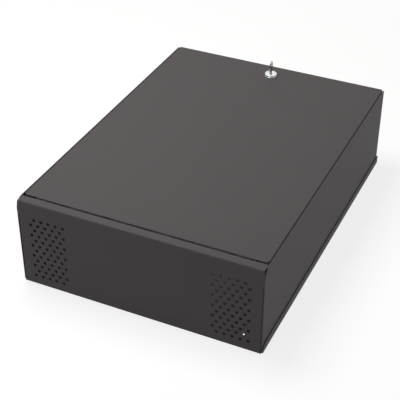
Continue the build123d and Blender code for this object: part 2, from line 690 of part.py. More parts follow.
def fan_frame():
    square = RectangleRounded(FAN_SIZE, FAN_SIZE, FAN_CORNER_R)
    duct = Circle(FAN_DUCT_R)
    flange = square - duct - repeated(fan_hole_places(), Circle(FAN_HOLE_R))
    frame = on_fan(flange, FAN_FRONT_Y, FAN_FRONT_Y + FAN_FLANGE)
    frame += on_fan(flange, FAN_REAR_Y - FAN_FLANGE, FAN_REAR_Y)
    frame += on_fan(Circle(FAN_SIZE / 2) - duct, FAN_FRONT_Y + FAN_FLANGE, FAN_REAR_Y - FAN_FLANGE)
    # Socket under the duct for the two terminals.
    socket_top = FAN_Z - FAN_SIZE / 2 + FAN_SOCKET_SEAT
    half = FAN_SOCKET_W / 2
    y0 = FAN_MIDDLE_Y - FAN_SOCKET_T / 2
    y1 = FAN_MIDDLE_Y + FAN_SOCKET_T / 2
    return frame + block(FAN_X - half, FAN_X + half, y0, y1, FAN_SOCKET_BOTTOM, socket_top)


def fan_spider():
    """Motor plate on four struts across the duct's inner face, with the bearing boss on its axis."""
    reach = (FAN_DUCT_R + FAN_MOTOR_R) / 2
    strut = Rectangle(2 * (FAN_DUCT_R - FAN_MOTOR_R), FAN_STRUT)
    plate = Circle(FAN_MOTOR_R) + repeated(PolarLocations(reach, FAN_STRUTS, 45), strut)
    plate = plate & Circle(FAN_DUCT_R - FAN_STRUT_SEAT_GAP)
    spider = on_fan(plate, FAN_FRONT_Y, FAN_FRONT_Y + FAN_MOTOR_PLATE)
    spider += on_fan(Circle(FAN_BOSS_R), FAN_FRONT_Y, FAN_FRONT_Y + FAN_BOSS_L)
    return spider - on_fan(Circle(FAN_BEARING_R), FAN_FRONT_Y - 1, FAN_FRONT_Y + FAN_THICK)


def fan_bearing():
    ring = Circle(FAN_BEARING_R) - Circle(FAN_SHAFT_R + FAN_SHAFT_GAP)
    return on_fan(ring, FAN_FRONT_Y + FAN_BEARING_SETBACK, FAN_FRONT_Y + FAN_BOSS_L)


def fan_blade(angle):
    """One blade, ruled from a steep root to a flatter tip, each given as (chord, angle)."""
    root_r = FAN_HUB_R - FAN_BLADE_SUNK
    tip_r = FAN_DUCT_R - FAN_TIP_GAP
    middle_y = FAN_REAR_Y - FAN_FACE_GAP - FAN_HUB_DEPTH / 2
    sections = []
    for radius, (chord, pitch) in ((root_r, FAN_BLADE_ROOT), (tip_r, FAN_BLADE_TIP)):
        plane = Plane(origin=(radius, 0, 0), x_dir=(0, 1, 0), z_dir=(1, 0, 0))
        sections.append(plane * Rot(0, 0, 90 - pitch) * Rectangle(FAN_BLADE, chord))
    blade = loft(sections, ruled=True)
    turned = Rot(0, 0, angle) * blade
    return Pos(FAN_X, middle_y, FAN_Z) * Rot(90, 0, 0) * turned


def fan_rotor():
    cap_y = FAN_REAR_Y - FAN_FACE_GAP
    hub_front = cap_y - FAN_HUB_DEPTH + FAN_HUB_SETBACK
    hub = on_fan(Circle(FAN_HUB_R), hub_front, cap_y)
    hub -= on_fan(Circle(FAN_HUB_R - FAN_HUB_WALL), hub_front - 1, cap_y - FAN_HUB_WALL)
    envelope = on_fan(Circle(FAN_DUCT_R - FAN_TIP_GAP) - Circle(FAN_HUB_R - FAN_BLADE_SEAT), hub_front, cap_y)
    for k in range(FAN_BLADES):
        hub += fan_blade(k * 360 / FAN_BLADES) & envelope
    hub += on_fan(Circle(FAN_SHAFT_R), FAN_FRONT_Y + FAN_SHAFT_SETBACK, cap_y - FAN_HUB_WALL)
    groove = Circle(FAN_SHAFT_R + 1) - Circle(FAN_SHAFT_R - FAN_CLIP_GRIP)
    return hub - on_fan(groove, FAN_CLIP_Y, FAN_CLIP_Y + FAN_CLIP_H)


def fan_clip():
    mouth = Pos(FAN_CLIP_R, 0) * Rectangle(2 * FAN_CLIP_R, FAN_CLIP_OPEN)
    ring = Circle(FAN_CLIP_R) - Circle(FAN_SHAFT_R - FAN_CLIP_GRIP) - mouth
    return on_fan(ring, FAN_CLIP_Y, FAN_CLIP_Y + FAN_CLIP_H)


def fan_terminals():
    spade = Pos(0, 0, -FAN_TERMINAL_L / 2) * Box(FAN_TERMINAL_W, FAN_TERMINAL_T, FAN_TERMINAL_L)
    hole = Rot(90, 0, 0) * Cylinder(FAN_TERMINAL_HOLE_R, 4 * FAN_TERMINAL_T)
    spade -= Pos(0, 0, FAN_TERMINAL_HOLE_UP - FAN_TERMINAL_L) * hole
    step = FAN_TERMINAL_PITCH / 2
    return [Pos(FAN_X + x, FAN_MIDDLE_Y, FAN_SOCKET_BOTTOM) * spade for x in (-step, step)]


def at_fan_corners(shape):
    """Copies of a shape whose axis is the Y axis, one at each fixing hole."""
    step = FAN_HOLE_PITCH / 2
    return [Pos(FAN_X + x, 0, FAN_Z + z) * shape for x in (-step, step) for z in (-step, step)]


def fan_screws():
    end = FAN_FRONT_Y - FAN_NUT_H - FAN_SCREW_PAST_NUT
    crown = BACK_Y + FAN_SCREW_HEAD_H
    shank = [(0, crown), (0, end), (FAN_SCREW_R, end), (FAN_SCREW_R, BACK_Y), (FAN_SCREW_HEAD_R, BACK_Y)]
    rim = (FAN_SCREW_HEAD_R, crown - FAN_SCREW_CROWN)
    crown_edge = (FAN_SCREW_HEAD_R - FAN_SCREW_CROWN, crown)
    screw = revolve(make_face(Polyline(*shank, rim, crown_edge, close=True)), Axis.Y)
    across = Box(FAN_RECESS_L, 2 * FAN_RECESS_DEEP, FAN_RECESS_W)
    upright = Box(FAN_RECESS_W, 2 * FAN_RECESS_DEEP, FAN_RECESS_L)
    return at_fan_corners(screw - Pos(0, crown, 0) * (across + upright))


def fan_nuts():
    face = hexagon(FAN_NUT_AF) - Circle(FAN_SCREW_R + SCREW_HOLE_GAP)
    return at_fan_corners(along_y(face, FAN_FRONT_Y - FAN_NUT_H, FAN_FRONT_Y))


def cable_edge_trim():
    """Rubber edging that grips the sheet round the cable opening."""
    outer = RectangleRounded(CABLE_W + 2 * TRIM_GRIP, CABLE_H + 2 * TRIM_GRIP, CABLE_CORNER_R + TRIM_GRIP)
    inner = RectangleRounded(CABLE_W - 2 * TRIM, CABLE_H - 2 * TRIM, CABLE_CORNER_R - TRIM)
    hole = RectangleRounded(CABLE_W, CABLE_H, CABLE_CORNER_R)
    centre = Pos(CABLE_X, CABLE_Z)
    ring = centre * (outer - inner)
    trim = along_y(ring, BACK_INNER_Y - TRIM, BACK_Y + TRIM)
    groove = centre * (Rectangle(2 * CABLE_W, 2 * CABLE_H) - hole)
    return trim - along_y(groove, BACK_INNER_Y, BACK_Y)


NODES = {
    "base_tray": base_tray,
    "body_shell": body_shell,
    "front_vent_panel": front_vent_panel,
    "hinge_rail": hinge_rail,
    "hinge_leaf_fixed": hinge_leaf_fixed,
    "hinge_leaf_moving": hinge_leaf_moving,
    "hinge_pin": hinge_pin,
    "lid": lid,
    "lock_housing": lock_housing,
    "lock_washer": lock_washer,
    "lock_nut": lock_nut,
    "lock_plug": lock_plug,
    "lock_wafers": lock_wafers,
    "cam_stop_washer": cam_stop_washer,
    "lock_cam": lock_cam,
    "cam_spring_washer": cam_spring_washer,
    "cam_screw": cam_screw,
    "key": key,
    "lock_catch": lock_catch,
    "fan_frame": fan_frame,
    "fan_spider": fan_spider,
    "fan_bearing": fan_bearing,
    "fan_rotor": fan_rotor,
    "fan_clip": fan_clip,
    "fan_terminals": fan_terminals,
    "fan_screws": fan_screws,
    "fan_nuts": fan_nuts,
    "cable_edge_trim": cable_edge_trim,
}

os.makedirs("parts", exist_ok=True)
for name, make in NODES.items():
    shape = make()
    if isinstance(shape, list):
        shape = Compound(children=shape)
    export_step(shape, f"parts/{name}.step")
    print(name, len(shape.solids()), round(shape.volume))
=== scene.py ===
"""Looks of a recorder lock box: powder-coated sheet steel, piano hinge, cam lock, key and exhaust fan.

Sizes are in metres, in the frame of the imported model: +X across the box, -Y the vented end, +Z up.
"""

import logging
import math
from collections.abc import Iterator, Sequence
from contextlib import contextmanager
from dataclasses import dataclass, field
from enum import Enum

import bmesh
import bpy
from mathutils import Matrix, Quaternion, Vector

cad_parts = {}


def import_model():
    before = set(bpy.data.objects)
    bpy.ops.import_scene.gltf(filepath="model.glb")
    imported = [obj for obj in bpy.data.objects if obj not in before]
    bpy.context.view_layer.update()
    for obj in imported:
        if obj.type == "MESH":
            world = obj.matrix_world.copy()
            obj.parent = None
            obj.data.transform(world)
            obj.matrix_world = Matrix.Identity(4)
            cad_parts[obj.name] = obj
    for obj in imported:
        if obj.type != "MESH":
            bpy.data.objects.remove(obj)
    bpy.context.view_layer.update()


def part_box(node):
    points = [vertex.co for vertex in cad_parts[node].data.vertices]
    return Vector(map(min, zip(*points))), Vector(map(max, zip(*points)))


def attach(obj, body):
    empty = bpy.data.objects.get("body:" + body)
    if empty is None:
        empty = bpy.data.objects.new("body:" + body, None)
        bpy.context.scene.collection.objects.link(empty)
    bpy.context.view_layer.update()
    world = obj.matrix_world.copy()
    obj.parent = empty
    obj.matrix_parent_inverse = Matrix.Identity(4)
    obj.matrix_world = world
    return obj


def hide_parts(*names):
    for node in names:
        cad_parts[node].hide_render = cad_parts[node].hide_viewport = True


LOG = logging.getLogger("lock_box")
MM = 0.001
OVERCUT = 1.0 * MM
LOOSE_GAP = 0.002 * MM
SPUN_GAP = 0.001 * MM
FLAT_ANGLE = math.radians(0.3)
SMOOTH_ANGLE = math.radians(35)
EDGE_ANGLE = math.radians(40)
HEX_HALF = math.pi / 6
CHAMFER = math.radians(30)
ROUND_STEPS = 48
DOME_STEPS = 4
THREAD_SHAPE = ((1.0, 0.06), (0.0, 0.44), (0.0, 0.56), (1.0, 0.94))
GRAIN_HALF = 0.2
WHITE = (1.0, 1.0, 1.0, 1.0)
X_AXIS = Vector((1.0, 0.0, 0.0))
Y_AXIS = Vector((0.0, 1.0, 0.0))
Z_AXIS = Vector((0.0, 0.0, 1.0))
Colour = tuple[float, float, float]
Place = tuple[float, float, float]
Span = tuple[float, float]
Outline = Sequence[tuple[float, float]]
Piece = bpy.types.Object
Socket = bpy.types.NodeSocket


class Body(Enum):
    """The bodies that move against each other."""

    BOX = "box"
    LID = "lid"
    CYLINDER = "lock_cylinder"
    KEY = "key"
    ROTOR = "fan_rotor"


class Slot(Enum):
    """Material slots of the record."""

    POWDER_COAT = "powder_coat"
    ZINC = "zinc_steel"
    STEEL = "steel"
    CHROME = "chrome_plate"
    NICKEL = "key_nickel"
    BRASS = "brass_wafer"
    PLASTIC = "fan_plastic"
    RUBBER = "rubber"


class Nodes:
    """A node tree that is put together step by step."""

    def __init__(self, tree: bpy.types.NodeTree) -> None:
        """Keeps the tree that the nodes go into."""
        self.tree = tree

    def feed(self, socket: Socket, value: object) -> None:
        """Feeds a socket.

        Args:
            socket: the socket.
            value: a plain value, or another node's output to link to it.
        """
        if isinstance(value, Socket):
            self.tree.links.new(value, socket)
        else:
            socket.default_value = value

    def node(
        self, kind: str, sockets: dict[str | int, object] | None = None, **values: object
    ) -> bpy.types.Node:
        """Adds a node, sets its values and feeds its sockets.

        Args:
            kind: Blender's name for the node without ShaderNode.
            sockets: what is fed to each named or numbered socket.
            values: attributes to set on the node.

        Returns:
            The new node.
        """
        made = self.tree.nodes.new(f"ShaderNode{kind}")
        for key, value in values.items():
            setattr(made, key, value)
        for key, value in (sockets or {}).items():
            self.feed(made.inputs[key], value)
        return made

    def seen_directly(self) -> Socket:
        """Makes a value that is 1 for camera, glossy and transmission rays.

        Returns:
            The value's socket.
        """
        path = self.node("LightPath")
        seen = path.outputs["Is Camera Ray"]
        for name in ("Is Glossy Ray", "Is Transmission Ray"):
            either = self.node("Math", {0: seen, 1: path.outputs[name]}, operation="MAXIMUM")
            seen = either.outputs[0]
        return seen


@dataclass(frozen=True)
class Grain:
    """Soft random grain: its rough width, how many finer layers it has and its stretch along each axis."""

    size: float
    detail: float
    stretch: Place = (1.0, 1.0, 1.0)


class Recipe(Nodes):
    """The node material of one finish."""

    def __init__(self, name: str) -> None:
        """Starts a material that reads the pieces' own coordinates.

        Args:
            name: the material's name.
        """
        self.material = bpy.data.materials.new(name)
        self.material.use_nodes = True
        super().__init__(self.material.node_tree)
        self.shader = self.tree.nodes["Principled BSDF"]
        self.place = self.node("TexCoord").outputs["Object"]
        self.grains: dict[Grain, Socket] = {}

    def paint(self, name: str, value: object) -> None:
        """Feeds one of the shader's own sockets."""
        self.feed(self.shader.inputs[name], value)

    def grain(self, grain: Grain) -> Socket:
        """Makes soft random grain, once for each set of sizes.

        Args:
            grain: its sizes.

        Returns:
            The grain's value, from 0 to 1.
        """
        if grain not in self.grains:
            scale = [1.0 / s for s in grain.stretch]
            where = self.node("Mapping", {"Vector": self.place, "Scale": scale}).outputs["Vector"]
            noise = {"Vector": where, "Scale": 1.0 / grain.size, "Detail": grain.detail}
            self.grains[grain] = self.node("TexNoise", noise).outputs["Fac"]
        return self.grains[grain]

    def between(self, value: Socket, low: float, high: float) -> Socket:
        """Maps the middle part of a grain's range to the range from low to high."""
        ends = {"From Min": 0.5 - GRAIN_HALF, "From Max": 0.5 + GRAIN_HALF, "To Min": low, "To Max": high}
        return self.node("MapRange", {"Value": value, **ends}).outputs["Result"]

    def blend(self, value: Socket, first: Colour, second: Colour) -> Socket:
        """Mixes two linear colours by a value, which is the share of the second one."""
        colours = {"A": (*first, 1.0), "B": (*second, 1.0)}
        return self.node("Mix", {"Factor": value, **colours}, data_type="RGBA").outputs["Result"]

    def relief(self, layers: Sequence[tuple[Socket, float]]) -> None:
        """Adds bump layers to the shader.

        Args:
            layers: each layer's grain and its height in metres.
        """
        under = {}
        for height, distance in layers:
            bump = self.node("Bump", {"Height": height, "Distance": distance, "Strength": 1.0, **under})
            under = {"Normal": bump.outputs["Normal"]}
        self.paint("Normal", under["Normal"])


@dataclass(frozen=True)
class Finish:
    """A finish whose colour, roughness and relief each follow a grain, with its plain shader values."""

    slot: Slot
    title: str
    first: Colour
    second: Colour
    cloud: Grain
    polish: Grain
    roughness: Span
    bumps: Grain
    bump_height: float
    plain: tuple[tuple[str, float], ...] = (("Metallic", 1.0),)

    def share(self, recipe: Recipe) -> Socket:
        """Returns the share of the second colour."""
        return recipe.between(recipe.grain(self.cloud), 0.0, 1.0)

    def layers(self, recipe: Recipe) -> Sequence[tuple[Socket, float]]:
        """Returns the layers of relief."""
        return [(recipe.grain(self.bumps), self.bump_height)]

    def make(self) -> bpy.types.Material:
        """Makes the finish's material.

        Returns:
            The material.
        """
        recipe = Recipe(self.title)
        recipe.paint("Base Color", recipe.blend(self.share(recipe), self.first, self.second))
        recipe.paint("Roughness", recipe.between(recipe.grain(self.polish), *self.roughness))
        recipe.relief(self.layers(recipe))
        for name, value in self.plain:
            recipe.paint(name, value)
        return recipe.material


@dataclass(frozen=True)
class SpeckledFinish(Finish):
    """A finish with fine specks over its cloud and its relief."""

    speck: Grain = Grain(0.45 * MM, 1.0)
    speck_share: float = 0.5
    speck_height: float = 0.0006 * MM

    def share(self, recipe: Recipe) -> Socket:
        """Mixes the cloud with the specks.

        Args:
            recipe: the material that is being made.

        Returns:
            The share of the second colour.
        """
        cloud = super().share(recipe)
        specks = recipe.between(recipe.grain(self.speck), 0.0, self.speck_share)
        terms = {0: cloud, 1: 1.0 - self.speck_share, 2: specks}
        return recipe.node("Math", terms, operation="MULTIPLY_ADD").outputs[0]

    def layers(self, recipe: Recipe) -> Sequence[tuple[Socket, float]]:
        """Returns the relief of the coat and of the specks."""
        return [*super().layers(recipe), (recipe.grain(self.speck), self.speck_height)]


DRAWN_LINES = Grain(0.12 * MM, 1.0, (60.0, 1.0, 1.0))
MILLED_LINES = Grain(0.1 * MM, 1.0, (1.0, 1.0, 40.0))
HANDLING_HAZE = Grain(2.5 * MM, 2.0)
BRASS_DULLING = Grain(1.5 * MM, 3.0)
SPARK_ERODED = Grain(0.35 * MM, 2.0)
RUBBER_BLOOM = Grain(7 * MM, 4.0)
FINISHES = (
    SpeckledFinish(
        Slot.POWDER_COAT, "powder_coat_charcoal", (0.0760, 0.0665, 0.0690), (0.0810, 0.0710, 0.0735),
        cloud=Grain(90 * MM, 3.0), polish=Grain(2.2 * MM, 2.0), roughness=(0.60, 0.66),
        bumps=Grain(1.3 * MM, 1.0), bump_height=0.002 * MM,
        plain=(("Specular IOR Level", 0.25), ("Metallic", 0.0)),
    ),
    Finish(
        Slot.ZINC, "zinc_plate", (0.60, 0.63, 0.67), (0.66, 0.64, 0.57),
        cloud=Grain(6 * MM, 2.0), polish=Grain(1.2 * MM, 3.0), roughness=(0.29, 0.34),
        bumps=Grain(1.6 * MM, 1.0), bump_height=0.0005 * MM,
    ),
    Finish(
        Slot.STEEL, "drawn_steel", (0.52, 0.52, 0.51), (0.40, 0.40, 0.39),
        cloud=DRAWN_LINES, polish=DRAWN_LINES, roughness=(0.22, 0.36),
        bumps=DRAWN_LINES, bump_height=0.003 * MM,
    ),
    Finish(
        Slot.CHROME, "chrome_plate", (0.86, 0.865, 0.875), (0.78, 0.79, 0.81),
        cloud=HANDLING_HAZE, polish=HANDLING_HAZE, roughness=(0.02, 0.07),
        bumps=Grain(0.5 * MM, 2.0), bump_height=0.0004 * MM,
    ),
    # Nickel plate whose colours sit far below those of bright nickel: painted dark reflection that makes the
    # key read grey instead of bright.
    Finish(
        Slot.NICKEL, "nickel_plate_painted_dark", (0.30, 0.29, 0.28), (0.22, 0.215, 0.21),
        cloud=Grain(3 * MM, 3.0), polish=MILLED_LINES, roughness=(0.08, 0.14),
        bumps=MILLED_LINES, bump_height=0.001 * MM,
    ),
    Finish(
        Slot.BRASS, "plain_brass", (0.75, 0.54, 0.24), (0.56, 0.39, 0.17),
        cloud=BRASS_DULLING, polish=BRASS_DULLING, roughness=(0.24, 0.40),
        bumps=Grain(0.2 * MM, 1.0), bump_height=0.002 * MM,
    ),
    Finish(
        Slot.PLASTIC, "moulded_plastic", (0.014, 0.014, 0.015), (0.022, 0.022, 0.023),
        cloud=Grain(9 * MM, 2.0), polish=SPARK_ERODED, roughness=(0.42, 0.56),
        bumps=SPARK_ERODED, bump_height=0.012 * MM, plain=(("IOR", 1.49),),
    ),
    Finish(
        Slot.RUBBER, "edging_rubber", (0.013, 0.013, 0.013), (0.028, 0.028, 0.027),
        cloud=RUBBER_BLOOM, polish=RUBBER_BLOOM, roughness=(0.62, 0.80),
        bumps=Grain(0.4 * MM, 2.0), bump_height=0.01 * MM, plain=(("IOR", 1.5),),
    ),
)


class Bench:
    """The modelling steps that the sub-assemblies share."""

    @staticmethod
    def clear() -> None:
        """Leaves nothing selected."""
        if bpy.context.mode != "OBJECT":
            bpy.ops.object.mode_set(mode="OBJECT")
        bpy.ops.object.select_all(action="DESELECT")

    @classmethod
    def take(cls, piece: Piece) -> None:
        """Selects one piece alone and makes it the active one.

        Args:
            piece: the piece.
        """
        cls.clear()
        piece.select_set(True)
        bpy.context.view_layer.objects.active = piece

    @classmethod
    @contextmanager
    def editing(cls, piece: Piece) -> Iterator[None]:
        """Opens a piece in edit mode with nothing selected, and closes it again.

        Args:
            piece: the piece.
        """
        cls.take(piece)
        bpy.ops.object.mode_set(mode="EDIT")
        bpy.ops.mesh.select_all(action="DESELECT")
        yield
        bpy.ops.object.mode_set(mode="OBJECT")

    @classmethod
    def settle(cls, piece: Piece) -> None:
        """Puts the piece's place into its mesh, so that its object sits at the origin."""
        cls.take(piece)
        bpy.ops.object.transform_apply(location=True, rotation=True, scale=True)

    @classmethod
    def apply(cls, piece: Piece, kind: str, **settings: object) -> None:
        """Adds a modifier, sets it and applies it.

        Args:
            piece: the piece that is changed.
            kind: Blender's name for the modifier.
            settings: its settings.
        """
        cls.take(piece)
        modifier = piece.modifiers.new(kind.lower(), kind)
        for key, value in settings.items():
            setattr(modifier, key, value)
        bpy.ops.object.modifier_apply(modifier=modifier.name)

    @classmethod
    def smooth(cls, piece: Piece) -> None:
        """Shades a piece smooth where its faces meet at a small angle."""
        cls.take(piece)
        bpy.ops.object.shade_smooth_by_angle(angle=SMOOTH_ANGLE)

    @classmethod
    def soften(cls, piece: Piece, width: float, segments: int = 2) -> None:
        """Rounds every sharp edge and shades the piece smooth.

        Args:
            piece: the piece that is changed.
            width: width of the rounding.
            segments: how many facets round the edge.
        """
        miter = "MITER_ARC" if segments > 2 else "MITER_SHARP"
        bevel = {"width": width, "segments": segments, "miter_outer": miter}
        cls.apply(piece, "BEVEL", limit_method="ANGLE", angle_limit=EDGE_ANGLE, **bevel)
        cls.smooth(piece)
        cls.apply(piece, "WEIGHTED_NORMAL", keep_sharp=True, weight=100)

    @classmethod
    def copy(cls, piece: Piece, name: str, matrix: Matrix | None = None) -> Piece:
        """Copies a piece with its own mesh.

        Args:
            piece: what is copied.
            name: name of the copy.
            matrix: how the copy's mesh is moved, if at all.

        Returns:
            The copy, which rides on nothing yet.
        """
        made = piece.copy()
        made.data = piece.data.copy()
        made.name = name
        made.data.name = name
        made.parent = None
        for key in [key for key in made.keys() if key.startswith("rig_")]:
            del made[key]
        bpy.context.scene.collection.objects.link(made)
        if matrix is not None:
            made.data.transform(matrix)
        made.hide_render = False
        made.hide_viewport = False
        return made

    @classmethod
    def join(cls, pieces: Sequence[Piece], name: str) -> Piece:
        """Joins pieces into one.

        Args:
            pieces: what is joined.
            name: name of the result.

        Returns:
            The one piece that is left.
        """
        cls.take(pieces[0])
        for piece in pieces:
            piece.select_set(True)
        bpy.ops.object.join()
        made = bpy.context.view_layer.objects.active
        made.name = name
        made.data.name = name
        return made

    @classmethod
    def repeat(cls, piece: Piece, moves: Sequence[Vector], name: str) -> Piece:
        """Repeats a piece with several moves.

        Args:
            piece: the piece, which is removed.
            moves: how far each copy lies from it.
            name: name of the result.

        Returns:
            The copies as one piece.
        """
        copies = [cls.copy(piece, name, Matrix.Translation(move)) for move in moves]
        bpy.data.objects.remove(piece)
        return cls.join(copies, name)

    @classmethod
    def cut(cls, piece: Piece, cutter: Piece) -> None:
        """Takes a cutter's shape out of a piece and removes the cutter."""
        cls.apply(piece, "BOOLEAN", operation="DIFFERENCE", solver="EXACT", object=cutter)
        bpy.data.objects.remove(cutter)

    @classmethod
    def block(cls, corner: Vector, opposite: Vector) -> Piece:
        """Makes a plain block, to cut with.

        Args:
            corner: any corner of it.
            opposite: the corner across from that.

        Returns:
            The block.
        """
        sides = [abs(side) for side in opposite - corner]
        cls.clear()
        bpy.ops.mesh.primitive_cube_add(size=1.0, location=(corner + opposite) / 2, scale=sides)
        made = bpy.context.object
        cls.settle(made)
        return made

    @classmethod
    def drum(cls, radius: float, start: Vector, end: Vector, sides: int, turned: float = 0.0) -> Piece:
        """Makes a plain cylinder or prism between two points, to cut with or to work further.

        Args:
            radius: its radius, over the corners.
            start: middle of one end.
            end: middle of the other end.
            sides: how many sides it has.
            turned: angle by which it is turned about its own axis.

        Returns:
            The cylinder.
        """
        turn = ((end - start).to_track_quat("Z", "Y") @ Quaternion(Z_AXIS, turned)).to_euler()
        size = {"vertices": sides, "radius": radius, "depth": (end - start).length}
        cls.clear()
        bpy.ops.mesh.primitive_cylinder_add(location=(start + end) / 2, rotation=turn, **size)
        made = bpy.context.object
        cls.settle(made)
        return made

    @classmethod
    def dimple(cls, radius: float, place: Vector, way: Vector, depth: float, sides: int) -> Piece:
        """Makes the cutter of a shallow round recess in the face that a direction points out of."""
        return cls.drum(radius, place - way * depth, place + way * OVERCUT, sides)

    @classmethod
    def turned(
        cls, name: str, outline: Outline, centre: Vector, axis: Vector, out: Vector, steps: int
    ) -> Piece:
        """Turns an outline about an axis.

        Args:
            name: name of the piece.
            outline: points as (radius, distance along the axis), either closed or ending on the axis.
            centre: point on the axis from which the distances run.
            axis: direction of the axis.
            out: direction in which the radius is drawn.
            steps: facets round the axis.

        Returns:
            The turned piece.
        """
        places = [centre + out * radius + axis * along for radius, along in outline]
        cls.clear()
        bpy.ops.mesh.primitive_plane_add(size=MM, location=places[0])
        made = bpy.context.object
        made.name = name
        made.data.name = name
        cls.settle(made)
        with cls.editing(made):
            bpy.ops.mesh.select_all(action="SELECT")
            bpy.ops.mesh.merge(type="CENTER")
            for here, there in zip(places, places[1:]):
                bpy.ops.mesh.extrude_region_move(TRANSFORM_OT_translate={"value": there - here})
            bpy.ops.mesh.select_all(action="SELECT")
            bpy.ops.mesh.spin(steps=steps, angle=2 * math.pi, center=centre, axis=axis)
            bpy.ops.mesh.select_all(action="SELECT")
            bpy.ops.mesh.remove_doubles(threshold=SPUN_GAP)
            bpy.ops.mesh.normals_make_consistent(inside=False)
        return made

    @classmethod
    def chamfer(
        cls, piece: Piece, middle: Vector, axis: Vector, length: float, face: float, corner: float
    ) -> None:
        """Chamfers both ends of a hexagon by keeping what lies inside a double cone.

        Args:
            piece: the hexagon.
            middle: its middle.
            axis: its axis.
            length: its height.
            face: radius of the flat end inside the chamfer.
            corner: radius outside its corners.
        """
        half = length / 2
        rim = half - (corner - face) * math.tan(CHAMFER)
        outline = [(0.0, half), (face, half), (corner, rim), (corner, -rim), (face, -half), (0.0, -half)]
        barrel = cls.turned("barrel", outline, middle, axis, axis.orthogonal().normalized(), ROUND_STEPS)
        cls.apply(piece, "BOOLEAN", operation="INTERSECT", solver="EXACT", object=barrel)
        bpy.data.objects.remove(barrel)

    @classmethod
    def from_frame(cls, node: str) -> Piece:
        """Copies a node of the frame and merges its loose triangles into clean faces.

        Args:
            node: name of the node.

        Returns:
            The piece, with whole flat faces.
        """
        made = cls.copy(bpy.data.objects[node], f"{node}_skin")
        made.data.materials.clear()
        with cls.editing(made):
            bpy.ops.mesh.customdata_custom_splitnormals_clear()
            bpy.ops.mesh.select_all(action="SELECT")
            bpy.ops.mesh.remove_doubles(threshold=LOOSE_GAP)
            bpy.ops.mesh.dissolve_limited(angle_limit=FLAT_ANGLE)
        return made


def middle_of(node: str) -> Vector:
    """Returns the middle of a node's box."""
    low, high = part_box(node)
    return (low + high) / 2


def rounded(outline: Outline, corner: int, radius: float, steps: int) -> Outline:
    """Rounds one corner of an outline.

    Args:
        outline: the points.
        corner: index of the point that is rounded.
        radius: distance from the corner at which the rounding starts.
        steps: how many facets it has.

    Returns:
        The outline with the corner replaced by a curve.
    """
    here = Vector(outline[corner])
    before = here + (Vector(outline[corner - 1]) - here).normalized() * radius
    after = here + (Vector(outline[corner + 1]) - here).normalized() * radius
    curve = []
    for i in range(steps + 1):
        t = i / steps
        point = before * (1 - t) ** 2 + here * (2 * t * (1 - t)) + after * t**2
        curve.append((point.x, point.y))
    return [*outline[:corner], *curve, *outline[corner + 1:]]


def domed(radius: float, top: float, drop: float, reach: float) -> Outline:
    """Draws the first part of a dome as (radius, distance along the axis), from the axis outwards."""
    angles = [reach * i / DOME_STEPS for i in range(DOME_STEPS + 1)]
    return [(radius * math.sin(a), top - drop * (1 - math.cos(a))) for a in angles]


def thread(crest: float, depth: float, pitch: float, first: float, last: float) -> Outline:
    """Draws the outline of a thread as (radius, distance along the axis).

    Args:
        crest: radius over the crests.
        depth: depth of the thread.
        pitch: distance from crest to crest.
        first: where the thread starts.
        last: where it ends.

    Returns:
        The points in order from first to last.
    """
    step = math.copysign(pitch, last - first)
    starts = [first + i * step for i in range(int(abs(last - first) / pitch))]
    return [(crest - deep * depth, start + share * step) for start in starts for deep, share in THREAD_SHAPE]


@dataclass(frozen=True)
class Blank:
    """A piece that starts as its own node: its body, its slot and the rounding of its edges."""

    node: str
    body: Body
    slot: Slot
    edge: float
    segments: int = 2


@dataclass
class Made:
    """A finished piece with what carries it and the node that it stands for."""

    piece: Piece
    body: Body
    slot: Slot
    node: str


@dataclass
class SubAssembly:
    """What every sub-assembly has: its finishes, its blanks and the pieces that it has made."""

    paints: dict[Slot, bpy.types.Material]
    made: list[Made] = field(default_factory=list)
    blanks: tuple[Blank, ...] = ()

    def add(self, piece: Piece, body: Body, slot: Slot, node: str) -> None:
        """Lists a finished piece with its body, its slot and the node that it replaces."""
        self.made.append(Made(piece, body, slot, node))

    def work(self, node: str, piece: Piece) -> None:
        """Works a blank before its edges are rounded, where it needs that."""

    def build(self) -> None:
        """Makes the pieces that start as their own nodes."""
        for blank in self.blanks:
            piece = Bench.from_frame(blank.node)
            self.work(blank.node, piece)
            Bench.soften(piece, blank.edge, blank.segments)
            self.add(piece, blank.body, blank.slot, blank.node)

    def dress(self) -> None:
        """Gives each piece its finish and puts it on its body."""
        for made in self.made:
            made.piece.data.materials.clear()
            made.piece.data.materials.append(self.paints[made.slot])
            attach(made.piece, made.body.value)
            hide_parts(made.node)
            LOG.info("%s: %d faces on %s", made.piece.name, len(made.piece.data.polygons), made.body.value)


@dataclass
class SheetBody(SubAssembly):
    """Base tray, side and back shell, hinge rail and lock catch."""

    blanks: tuple[Blank, ...] = tuple(
        Blank(node, Body.BOX, Slot.POWDER_COAT, 0.3 * MM)
        for node in ("base_tray", "body_shell", "hinge_rail", "lock_catch")
    )


